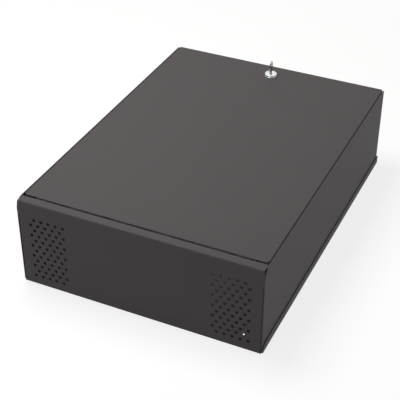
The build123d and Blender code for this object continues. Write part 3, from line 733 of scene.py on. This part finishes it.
@dataclass
class VentPanel(SubAssembly):
    """Front panel with two mirrored fields of staggered round vents."""

    rows: int = 12
    columns: int = 10
    row_pitch: float = 9.65 * MM
    column_pitch: float = 6.25 * MM
    inset: float = 20.3 * MM
    below_top: float = 29.9 * MM
    hole_radius: float = 2.78 * MM
    hole_sides: int = 20
    sheet: float = 1.5 * MM
    blanks: tuple[Blank, ...] = (Blank("front_vent_panel", Body.BOX, Slot.POWDER_COAT, 0.25 * MM),)

    def centres(self) -> list[Vector]:
        """Works the holes' places out from the panel's own box.

        Returns:
            The places, which lie in the plane of the X and Z axes.
        """
        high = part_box("front_vent_panel")[1]
        places = []
        for row in range(self.rows):
            z = high.z - self.below_top - row * self.row_pitch
            for column in range(1 - row % 2, self.columns, 2):
                x = high.x - self.inset - column * self.column_pitch
                places += [Vector((side * x, 0.0, z)) for side in (-1, 1)]
        return places

    def work(self, node: str, piece: Piece) -> None:
        """Drills the vents round.

        Args:
            node: name of the panel's node.
            piece: the panel.
        """
        front = Y_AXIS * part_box(node)[0].y
        start, end = front - Y_AXIS * self.sheet, front + Y_AXIS * 2 * self.sheet
        drill = Bench.drum(self.hole_radius, start, end, self.hole_sides)
        Bench.cut(piece, Bench.repeat(drill, self.centres(), "vent_drills"))


@dataclass
class PanLid(SubAssembly):
    """Flush lid with folded sides and rear lip."""

    blanks: tuple[Blank, ...] = (Blank("lid", Body.LID, Slot.POWDER_COAT, 0.3 * MM),)


@dataclass
class PianoHinge(SubAssembly):
    """Concealed piano hinge with rolled knuckles, welded leaves and its pin."""

    knuckles: int = 17
    pitch: float = 21.0 * MM
    leaf: float = 1.0 * MM
    curl_gap: float = 0.2 * MM
    curl_reach: Span = (1.22 * MM, 3.22 * MM)
    weld_radius: float = 2.5 * MM
    weld_depth: float = 0.2 * MM
    weld_sides: int = 20
    weld_pitch: float = 42.0 * MM
    welds: int = 8
    fixed_weld_up: float = 6.0 * MM
    moving_weld_in: float = 7.0 * MM
    pin_crown: float = 0.7 * MM
    pin_steps: int = 28
    blanks: tuple[Blank, ...] = (
        Blank("hinge_leaf_fixed", Body.BOX, Slot.ZINC, 0.12 * MM),
        Blank("hinge_leaf_moving", Body.LID, Slot.ZINC, 0.12 * MM),
    )

    def row(self, count: int, pitch: float) -> list[float]:
        """Returns places along the hinge that are evenly spaced about its middle."""
        return [(i - (count - 1) / 2) * pitch for i in range(count)]

    def curl(self, leaf: Piece, odd: int, way: Vector) -> None:
        """Cuts the fine gap where each rolled knuckle meets its own leaf.

        Args:
            leaf: the leaf.
            odd: 0 or 1, which knuckles are on this leaf.
            way: direction from the pin towards the gap.
        """
        middle = middle_of("hinge_pin")
        near, far = (middle + way * reach for reach in self.curl_reach)
        slack = Vector((self.pitch / 2, self.curl_gap / 2, self.curl_gap / 2))
        slack -= way * slack.dot(way)
        cutters = []
        for x in self.row(self.knuckles, self.pitch)[odd::2]:
            cutters.append(Bench.block(near + X_AXIS * x - slack, far + X_AXIS * x + slack))
        Bench.cut(leaf, Bench.join(cutters, "curl_gaps"))

    def weld(self, leaf: Piece, place: Vector, way: Vector) -> None:
        """Presses a row of round weld marks into a leaf.

        Args:
            leaf: the leaf.
            place: the middle of the row on the leaf's face.
            way: direction out of the face.
        """
        mark = Bench.dimple(self.weld_radius, place, way, self.weld_depth, self.weld_sides)
        moves = [X_AXIS * x for x in self.row(self.welds, self.weld_pitch)]
        Bench.cut(leaf, Bench.repeat(mark, moves, "weld_marks"))

    def pin(self) -> Piece:
        """Turns the pin with its domed ends about its own axis.

        Returns:
            The pin.
        """
        low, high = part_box("hinge_pin")
        half, radius = (high.x - low.x) / 2, (high.z - low.z) / 2
        dome = domed(radius, half, self.pin_crown, math.pi / 2)
        outline = dome + [(r, -x) for r, x in reversed(dome)]
        pin = Bench.turned("hinge_pin_skin", outline, (low + high) / 2, X_AXIS, Z_AXIS, self.pin_steps)
        Bench.smooth(pin)
        return pin

    def work(self, node: str, piece: Piece) -> None:
        """Cuts a leaf's gaps and presses its weld marks.

        Args:
            node: name of the leaf's node.
            piece: the leaf.
        """
        low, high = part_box(node)
        if node == "hinge_leaf_fixed":
            self.curl(piece, 0, -Z_AXIS)
            self.weld(piece, Vector((0.0, high.y, low.z + self.fixed_weld_up)), Y_AXIS)
        else:
            self.curl(piece, 1, Y_AXIS)
            self.weld(piece, Vector((0.0, high.y - self.moving_weld_in, high.z - self.leaf)), -Z_AXIS)

    def build(self) -> None:
        """Makes the two leaves and the pin."""
        super().build()
        self.add(self.pin(), Body.BOX, Slot.STEEL, "hinge_pin")


@dataclass
class CamLock(SubAssembly):
    """Cam lock in the lid, from its bezel down to the cam's screw."""

    steps: int = 64
    head_radius: float = 10.8 * MM
    head_height: float = 6.2 * MM
    tier_radius: float = 10.6 * MM
    tier_round: float = 1.7 * MM
    tier_steps: int = 6
    flange_height: float = 2.7 * MM
    flange_round: float = 0.5 * MM
    flange_steps: int = 4
    groove: float = 0.4 * MM
    mouth_bevel: float = 0.3 * MM
    body_radius: float = 9.3 * MM
    body_flat: float = 8.0 * MM
    body_length: float = 17.0 * MM
    bore: float = 6.05 * MM
    counterbore: float = 7.05 * MM
    counterbore_depth: float = 2.5 * MM
    plain_neck: float = -0.7 * MM
    plain_end: float = 0.6 * MM
    pitch: float = 1.0 * MM
    thread_depth: float = 0.5 * MM
    skirt_radius: float = 7.4 * MM
    skirt_open: Span = (158.9, 291.1)
    sliver: float = 0.01 * MM
    ring: Span = (5.5 * MM, 5.9 * MM)
    ring_flare: float = 0.2 * MM
    ring_depth: float = 0.25 * MM
    dot_reach: float = 4.0 * MM
    dot_radius: float = 0.7 * MM
    dot_depth: float = 0.4 * MM
    dot_sides: int = 20
    teeth: int = 12
    tooth_foot: float = 10.9 * MM
    tooth_thin: float = 0.5
    tooth_twist: float = math.radians(3)
    nut_face: float = 11.0 * MM
    nut_corner: float = 13.2 * MM
    screw_radius: float = 2.0 * MM
    screw_thread: float = 0.3 * MM
    screw_pitch: float = 0.7 * MM
    screw_steps: int = 24
    screw_flats: float = 7.0 * MM
    screw_face: float = 3.3 * MM
    screw_corner: float = 4.1 * MM
    screw_edge: float = 0.08 * MM
    blanks: tuple[Blank, ...] = (
        Blank("lock_washer", Body.LID, Slot.ZINC, 0.08 * MM),
        Blank("lock_nut", Body.LID, Slot.ZINC, 0.12 * MM),
        Blank("lock_plug", Body.CYLINDER, Slot.CHROME, 0.1 * MM),
        Blank("lock_wafers", Body.CYLINDER, Slot.BRASS, 0.06 * MM),
        Blank("cam_stop_washer", Body.CYLINDER, Slot.ZINC, 0.15 * MM, 3),
        Blank("lock_cam", Body.CYLINDER, Slot.ZINC, 0.4 * MM, 4),
        Blank("cam_spring_washer", Body.CYLINDER, Slot.STEEL, 0.12 * MM, 3),
    )

    def foot(self) -> Vector:
        """Returns the point where the lock's axis meets the lid's top."""
        middle = middle_of("lock_housing")
        return Vector((middle.x, middle.y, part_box("lock_housing")[1].z - self.head_height))

    def housing_outline(self, skirt: float) -> Outline:
        """Draws half of the housing's section as (radius, height above the lid).

        Args:
            skirt: level of the skirt's lower end.

        Returns:
            The closed outline.
        """
        top, end = self.head_height, -self.body_length
        step = top - self.counterbore_depth
        neck = self.tier_radius - self.groove
        root = self.body_radius - self.thread_depth
        tier = [(self.counterbore + self.mouth_bevel, top), (self.tier_radius, top)]
        tier += [(self.tier_radius, self.flange_height + self.groove)]
        flange = [(neck, self.flange_height), (self.head_radius, self.flange_height), (self.head_radius, 0.0)]
        first, last = self.plain_neck - self.pitch, self.plain_end + end
        outline = [(self.bore, end), (self.bore, step), (self.counterbore, step)]
        outline += [(self.counterbore, top - self.mouth_bevel)]
        outline += rounded(tier, 1, self.tier_round, self.tier_steps)
        outline += [(neck, self.flange_height + self.groove)]
        outline += rounded(flange, 1, self.flange_round, self.flange_steps)
        outline += [(root, 0.0), *thread(self.body_radius, self.thread_depth, self.pitch, first, last)]
        outline += [(root, skirt), (self.skirt_radius, skirt), (self.skirt_radius, end)]
        return [*outline, outline[0]]

    def housing(self) -> Piece:
        """Makes the housing with its two-tier head, threaded body, flats and part skirt.

        Returns:
            The housing.
        """
        foot = self.foot()
        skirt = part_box("lock_housing")[0].z - foot.z
        outline = self.housing_outline(skirt)
        piece = Bench.turned("lock_housing_skin", outline, foot, Z_AXIS, X_AXIS, self.steps)
        wide, flats = 2 * self.body_radius, []
        for side in (-1, 1):
            near = foot + Vector((side * self.body_flat, -wide, skirt - OVERCUT))
            far = foot + Vector((side * (self.body_flat + self.body_radius), wide, -self.sliver))
            flats.append(Bench.block(near, far))
        Bench.cut(piece, Bench.join(flats, "flats"))
        Bench.cut(piece, self.skirt_wedge(skirt))
        Bench.smooth(piece)
        return piece

    def skirt_wedge(self, skirt: float) -> Piece:
        """Makes the wedge that opens the skirt for the stop washer's ear.

        Args:
            skirt: level of the skirt's lower end below the lid's top.

        Returns:
            A square drum stretched and turned so that one corner is on the lock's axis.
        """
        foot = self.foot()
        first, last = (math.radians(angle) for angle in self.skirt_open)
        slope = math.tan((last - first) / 2)
        reach = 2 * self.body_radius
        under, over = foot + Z_AXIS * (skirt - OVERCUT), foot - Z_AXIS * (self.body_length - self.sliver)
        wedge = Bench.drum(reach, under, over, 4)
        Bench.take(wedge)
        bpy.ops.transform.resize(value=(1.0 / slope, 1.0, 1.0), center_override=foot)
        bpy.ops.transform.translate(value=X_AXIS * reach / slope)
        bpy.ops.transform.rotate(value=-(first + last) / 2, orient_axis="Z", center_override=foot)
        Bench.settle(wedge)
        return wedge

    def mark_plug(self, piece: Piece) -> None:
        """Cuts a turned ring and a dot into the plug's face.

        Args:
            piece: the plug.
        """
        face = self.foot()
        face.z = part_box("lock_plug")[1].z
        (inner, outer), flare, depth = self.ring, self.ring_flare, self.ring_depth
        ring = [(inner, -depth), (outer, -depth), (outer + flare, depth), (inner - flare, depth)]
        Bench.cut(piece, Bench.turned("ring", [*ring, ring[0]], face, Z_AXIS, X_AXIS, ROUND_STEPS))
        dot = face - X_AXIS * self.dot_reach
        Bench.cut(piece, Bench.dimple(self.dot_radius, dot, Z_AXIS, self.dot_depth, self.dot_sides))

    def twist_teeth(self, piece: Piece) -> None:
        """Thins each tooth of the washer and twists it out of its plane.

        Args:
            piece: the washer.
        """
        centre = middle_of("lock_washer")
        half_step = math.pi / self.teeth
        with Bench.editing(piece):
            bpy.ops.mesh.select_mode(type="VERT")
            for k in range(self.teeth):
                turn = Matrix.Rotation((2 * k + 1) * half_step, 3, "Z")
                way = turn @ X_AXIS
                mesh = bmesh.from_edit_mesh(piece.data)
                for vert in mesh.verts:
                    flat = Vector((vert.co.x - centre.x, vert.co.y - centre.y, 0.0))
                    vert.select_set(flat.length > self.tooth_foot and flat.angle(way) < half_step)
                mesh.select_flush_mode()
                bmesh.update_edit_mesh(piece.data)
                middle = centre + way * self.tooth_foot
                bpy.ops.transform.resize(value=(1.0, 1.0, self.tooth_thin), center_override=middle)
                bpy.ops.transform.rotate(
                    value=self.tooth_twist, orient_axis="X", orient_matrix=turn.transposed(),
                    orient_matrix_type="GLOBAL", center_override=middle,
                )

    def chamfer_nut(self, piece: Piece) -> None:
        """Chamfers both ends of the thin nut.

        Args:
            piece: the nut.
        """
        low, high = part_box("lock_nut")
        height = high.z - low.z
        Bench.chamfer(piece, (low + high) / 2, Z_AXIS, height, self.nut_face, self.nut_corner)

    def work(self, node: str, piece: Piece) -> None:
        """Works the washer, the nut and the plug.

        Args:
            node: name of the piece's node.
            piece: the piece.
        """
        tools = {"lock_washer": self.twist_teeth, "lock_nut": self.chamfer_nut, "lock_plug": self.mark_plug}
        if node in tools:
            tools[node](piece)

    def cam_screw(self) -> Piece:
        """Makes the hexagon screw that holds the cam.

        Returns:
            The screw.
        """
        low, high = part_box("cam_screw")
        seat = self.foot()
        seat.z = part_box("cam_spring_washer")[0].z
        height, length = seat.z - low.z, high.z - seat.z
        corner, middle = self.screw_flats / 2 / math.cos(HEX_HALF), seat - Z_AXIS * height / 2
        head = Bench.drum(corner, seat - Z_AXIS * height, seat, 6, HEX_HALF)
        Bench.chamfer(head, middle, Z_AXIS, height, self.screw_face, self.screw_corner)
        Bench.soften(head, self.screw_edge)
        root = self.screw_radius - self.screw_thread
        screwed = thread(self.screw_radius, self.screw_thread, self.screw_pitch, 0.0, length)
        outline = [(0.0, -height / 2), (root, -height / 2), *screwed, (root, length), (0.0, length)]
        shank = Bench.turned("shank", outline, seat, Z_AXIS, X_AXIS, self.screw_steps)
        Bench.smooth(shank)
        return Bench.join([head, shank], "cam_screw_skin")

    def build(self) -> None:
        """Makes the fixed and the turning pieces."""
        self.add(self.housing(), Body.LID, Slot.CHROME, "lock_housing")
        super().build()
        self.add(self.cam_screw(), Body.CYLINDER, Slot.ZINC, "cam_screw")


@dataclass
class LockKey(SubAssembly):
    """Flat key in the lock, with milled grooves and a dished bow."""

    grooves: tuple[tuple[int, float], ...] = ((-1, -1.6 * MM), (1, 0.9 * MM))
    groove_width: float = 1.1 * MM
    groove_depth: float = 0.5 * MM
    dish_radius: float = 4.4 * MM
    dish_depth: float = 0.2 * MM
    dish_sides: int = 40
    bow_height: float = 14.0 * MM
    shoulder_above: float = 7.0 * MM
    blanks: tuple[Blank, ...] = (Blank("key", Body.KEY, Slot.NICKEL, 0.22 * MM, 3),)

    def work(self, node: str, piece: Piece) -> None:
        """Mills the blade's grooves and dishes the bow.

        Args:
            node: name of the key's node.
            piece: the key.
        """
        low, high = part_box(node)
        middle, half = (low + high) / 2, (high.x - low.x) / 2
        shoulder = high.z - self.bow_height - self.shoulder_above
        wide, cutters = self.groove_width / 2, []
        for side, along in self.grooves:
            y = middle.y + along
            near = Vector((middle.x + side * (half - self.groove_depth), y - wide, low.z - OVERCUT))
            far = Vector((middle.x + side * (half + OVERCUT), y + wide, shoulder))
            cutters.append(Bench.block(near, far))
        Bench.cut(piece, Bench.join(cutters, "grooves"))
        bow = Vector((middle.x, middle.y, high.z - self.bow_height / 2))
        for way in (-X_AXIS, X_AXIS):
            dish = Bench.dimple(self.dish_radius, bow + way * half, way, self.dish_depth, self.dish_sides)
            Bench.cut(piece, dish)


@dataclass
class ExhaustFan(SubAssembly):
    """Fan on the back wall with its bearing, fixings and terminals."""

    hole_pitch: float = 71.5 * MM
    screw_radius: float = 2.0 * MM
    screw_steps: int = 28
    head_radius: float = 3.9 * MM
    head_height: float = 1.9 * MM
    head_crown: float = 1.4 * MM
    head_arc: float = 1.4
    head_lip: float = 0.15 * MM
    thread_depth: float = 0.35 * MM
    thread_pitch: float = 0.7 * MM
    thread_end: float = 0.4 * MM
    thread_length: float = 12.0 * MM
    recess_length: float = 3.6 * MM
    recess_width: float = 0.8 * MM
    recess_depth: float = 1.1 * MM
    nut_height: float = 3.2 * MM
    nut_flats: float = 7.0 * MM
    nut_face: float = 3.35 * MM
    nut_room: float = 1.03
    nut_bore: float = 2.1 * MM
    nut_edge: float = 0.1 * MM
    hub_dish: float = 14.5 * MM
    hub_dish_depth: float = 0.3 * MM
    hub_dish_sides: int = 64
    blanks: tuple[Blank, ...] = (
        Blank("fan_frame", Body.BOX, Slot.PLASTIC, 0.5 * MM, 3),
        Blank("fan_spider", Body.BOX, Slot.PLASTIC, 0.4 * MM, 3),
        Blank("fan_rotor", Body.ROTOR, Slot.PLASTIC, 0.35 * MM, 3),
        Blank("fan_bearing", Body.BOX, Slot.BRASS, 0.2 * MM, 3),
        Blank("fan_clip", Body.ROTOR, Slot.STEEL, 0.08 * MM),
        Blank("fan_terminals", Body.BOX, Slot.BRASS, 0.1 * MM),
    )

    def corners(self, y: float) -> list[Vector]:
        """Works out the four fixing places.

        Args:
            y: their depth.

        Returns:
            The places.
        """
        middle = middle_of("fan_screws")
        step = self.hole_pitch / 2
        return [Vector((middle.x + x, y, middle.z + z)) for x in (-step, step) for z in (-step, step)]

    def screws(self) -> Piece:
        """Makes the four domed screws with their cross recesses and threads.

        Returns:
            The screws as one piece.
        """
        low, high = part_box("fan_screws")
        length = high.y - low.y - self.head_height
        dome = domed(self.head_radius, self.head_height, self.head_crown, self.head_arc)
        root = self.screw_radius - self.thread_depth
        first, last = self.thread_end - length, self.thread_length - length
        screwed = thread(self.screw_radius, self.thread_depth, self.thread_pitch, first, last)
        shank = [(self.screw_radius, 0.0), (self.screw_radius, last), *screwed[::-1]]
        rim = [(self.head_radius, 2 * self.head_lip), (self.head_radius - self.head_lip, 0.0)]
        outline = [*dome, *rim, *shank, (root, -length), (0.0, -length)]
        screw = Bench.turned("screw", outline, Vector(), Y_AXIS, X_AXIS, self.screw_steps)
        half_long, half_wide = self.recess_length / 2, self.recess_width / 2
        top, bottom = self.head_height + OVERCUT, self.head_height - self.recess_depth
        for x, z in ((half_long, half_wide), (half_wide, half_long)):
            Bench.cut(screw, Bench.block(Vector((-x, bottom, -z)), Vector((x, top, z))))
        Bench.smooth(screw)
        return Bench.repeat(screw, self.corners(high.y - self.head_height), "fan_screws_skin")

    def nuts(self) -> Piece:
        """Makes the four chamfered nuts.

        Returns:
            The nuts as one piece.
        """
        height, corner = self.nut_height, self.nut_flats / 2 / math.cos(HEX_HALF)
        nut = Bench.drum(corner, Y_AXIS * -(height / 2), Y_AXIS * (height / 2), 6, HEX_HALF)
        Bench.chamfer(nut, Vector(), Y_AXIS, height, self.nut_face, self.nut_room * corner)
        Bench.cut(nut, Bench.drum(self.nut_bore, Y_AXIS * -height, Y_AXIS * height, self.screw_steps))
        Bench.soften(nut, self.nut_edge)
        return Bench.repeat(nut, self.corners(middle_of("fan_nuts").y), "fan_nuts_skin")

    def work(self, node: str, piece: Piece) -> None:
        """Dishes the rotor's hub.

        Args:
            node: name of the piece's node.
            piece: the piece.
        """
        if node == "fan_rotor":
            face = middle_of(node)
            face.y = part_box(node)[1].y
            dish = Bench.dimple(self.hub_dish, face, Y_AXIS, self.hub_dish_depth, self.hub_dish_sides)
            Bench.cut(piece, dish)

    def build(self) -> None:
        """Makes the fan and its fixings."""
        super().build()
        self.add(self.screws(), Body.BOX, Slot.ZINC, "fan_screws")
        self.add(self.nuts(), Body.BOX, Slot.ZINC, "fan_nuts")


@dataclass
class CableOpening(SubAssembly):
    """Rubber edging round the cable opening."""

    blanks: tuple[Blank, ...] = (Blank("cable_edge_trim", Body.BOX, Slot.RUBBER, 0.5 * MM, 3),)


SUB_ASSEMBLIES = (SheetBody, VentPanel, PanLid, PianoHinge, CamLock, LockKey, ExhaustFan, CableOpening)


@dataclass
class Lamp:
    """A soft square lamp that faces a point."""

    name: str
    place: Place
    aim: Place
    side: float
    watts: float
    colour: Colour = (1.0, 1.0, 1.0)

    def build(self) -> None:
        """Adds the lamp to the scene."""
        data = bpy.data.lights.new(self.name, "AREA")
        data.shape = "SQUARE"
        data.size = self.side
        data.energy = self.watts
        data.color = self.colour
        lamp = bpy.data.objects.new(self.name, data)
        lamp.visible_camera = False
        lamp.location = self.place
        lamp.rotation_mode = "QUATERNION"
        lamp.rotation_quaternion = (Vector(self.aim) - Vector(self.place)).to_track_quat("-Z", "Y")
        bpy.context.scene.collection.objects.link(lamp)


@dataclass
class Studio:
    """Floor, surround, lamps and camera."""

    floor_side: float = 14.0
    floor_drop: float = 0.2 * MM
    floor_colour: Colour = (0.30, 0.30, 0.30)
    floor_glow: Span = (0.80, 1.0)
    glow_rise: Span = (0.6, 2.4)
    surround: float = 0.15
    lens: float = 92.90
    clip: Span = (0.01, 100.0)
    camera_place: Place = (0.5756, -1.3051, 1.0319)
    camera_aim: Place = (-0.34372, 0.74379, -0.57326)
    camera_roll: float = math.radians(0.17)
    lamps: tuple[Lamp, ...] = (
        Lamp("key_lamp", (-0.45, 0.05, 1.4), (-0.05, 0.05, 0.1), 0.7, 13.5, (1.0, 0.985, 0.95)),
        Lamp("side_lamp", (1.6, 0.7, 1.0), (0.1, 0.05, 0.1), 0.8, 1.8, (0.98, 0.97, 1.0)),
        Lamp("front_lamp", (-0.3, -1.7, 0.5), (0.0, -0.2, 0.08), 0.8, 5.2, (0.90, 0.88, 1.0)),
        Lamp("bay_lamp", (-0.03, -0.05, 0.136), (-0.03, -0.05, 0.0), 0.2, 0.25),
    )

    def build_surround(self) -> None:
        """Makes a world that looks white and lights softly."""
        world = bpy.data.worlds.new("surround")
        bpy.context.scene.world = world
        world.use_nodes = True
        nodes = Nodes(world.node_tree)
        dim = nodes.tree.nodes["Background"]
        nodes.feed(dim.inputs["Color"], WHITE)
        nodes.feed(dim.inputs["Strength"], self.surround)
        white = nodes.node("Background", {"Color": WHITE, "Strength": 1.0})
        both = {"Fac": nodes.seen_directly(), 1: dim.outputs[0], 2: white.outputs[0]}
        mixed = nodes.node("MixShader", both)
        nodes.feed(nodes.tree.nodes["World Output"].inputs["Surface"], mixed.outputs[0])

    def rising_glow(self, nodes: Nodes) -> Socket:
        """Makes the floor's own brightness, which rises to white away from the box.

        Args:
            nodes: the floor's material.

        Returns:
            The brightness.
        """
        place = nodes.node("TexCoord").outputs["Object"]
        reach = nodes.node("VectorMath", {0: place}, operation="LENGTH").outputs["Value"]
        names = ("From Min", "From Max", "To Min", "To Max")
        ends = dict(zip(names, (*self.glow_rise, *self.floor_glow)))
        rise = nodes.node("MapRange", {"Value": reach, **ends}, interpolation_type="SMOOTHSTEP")
        return rise.outputs["Result"]

    def build_floor(self) -> None:
        """Makes a pale floor that keeps the box's shadow."""
        Bench.clear()
        bpy.ops.mesh.primitive_plane_add(size=self.floor_side, location=-Z_AXIS * self.floor_drop)
        floor = bpy.context.object
        floor.name = "studio_floor"
        material = bpy.data.materials.new("studio_floor")
        material.use_nodes = True
        nodes = Nodes(material.node_tree)
        nodes.tree.nodes.remove(nodes.tree.nodes["Principled BSDF"])
        matt = nodes.node("BsdfDiffuse", {"Color": (*self.floor_colour, 1.0)})
        seen = {0: nodes.seen_directly(), 1: self.rising_glow(nodes)}
        strength = nodes.node("Math", seen, operation="MULTIPLY")
        glow = nodes.node("Emission", {"Strength": strength.outputs[0]})
        both = nodes.node("AddShader", {0: matt.outputs[0], 1: glow.outputs[0]})
        nodes.feed(nodes.tree.nodes["Material Output"].inputs["Surface"], both.outputs[0])
        floor.data.materials.append(material)

    def build_camera(self) -> None:
        """Makes the camera at the photograph's viewing angle."""
        data = bpy.data.cameras.new("camera")
        data.lens = self.lens
        data.clip_start, data.clip_end = self.clip
        camera = bpy.data.objects.new("camera", data)
        turn = Vector(self.camera_aim).to_track_quat("-Z", "Y").to_matrix()
        roll = Matrix.Rotation(self.camera_roll, 3, "Z")
        camera.rotation_mode = "QUATERNION"
        camera.rotation_quaternion = (turn @ roll).to_quaternion()
        camera.location = self.camera_place
        bpy.context.scene.collection.objects.link(camera)
        bpy.context.scene.camera = camera

    def build(self) -> None:
        """Sets the whole studio up."""
        self.build_surround()
        self.build_floor()
        self.build_camera()
        for lamp in self.lamps:
            lamp.build()
        bpy.context.scene.view_settings.view_transform = "Standard"


def main() -> None:
    """Loads the frame, makes and dresses every sub-assembly and sets up the studio."""
    logging.basicConfig(level=logging.INFO, format="%(message)s")
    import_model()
    paints = {finish.slot: finish.make() for finish in FINISHES}
    for kind in SUB_ASSEMBLIES:
        part = kind(paints)
        part.build()
        part.dress()
    Studio().build()


if __name__ == "__main__":
    main()
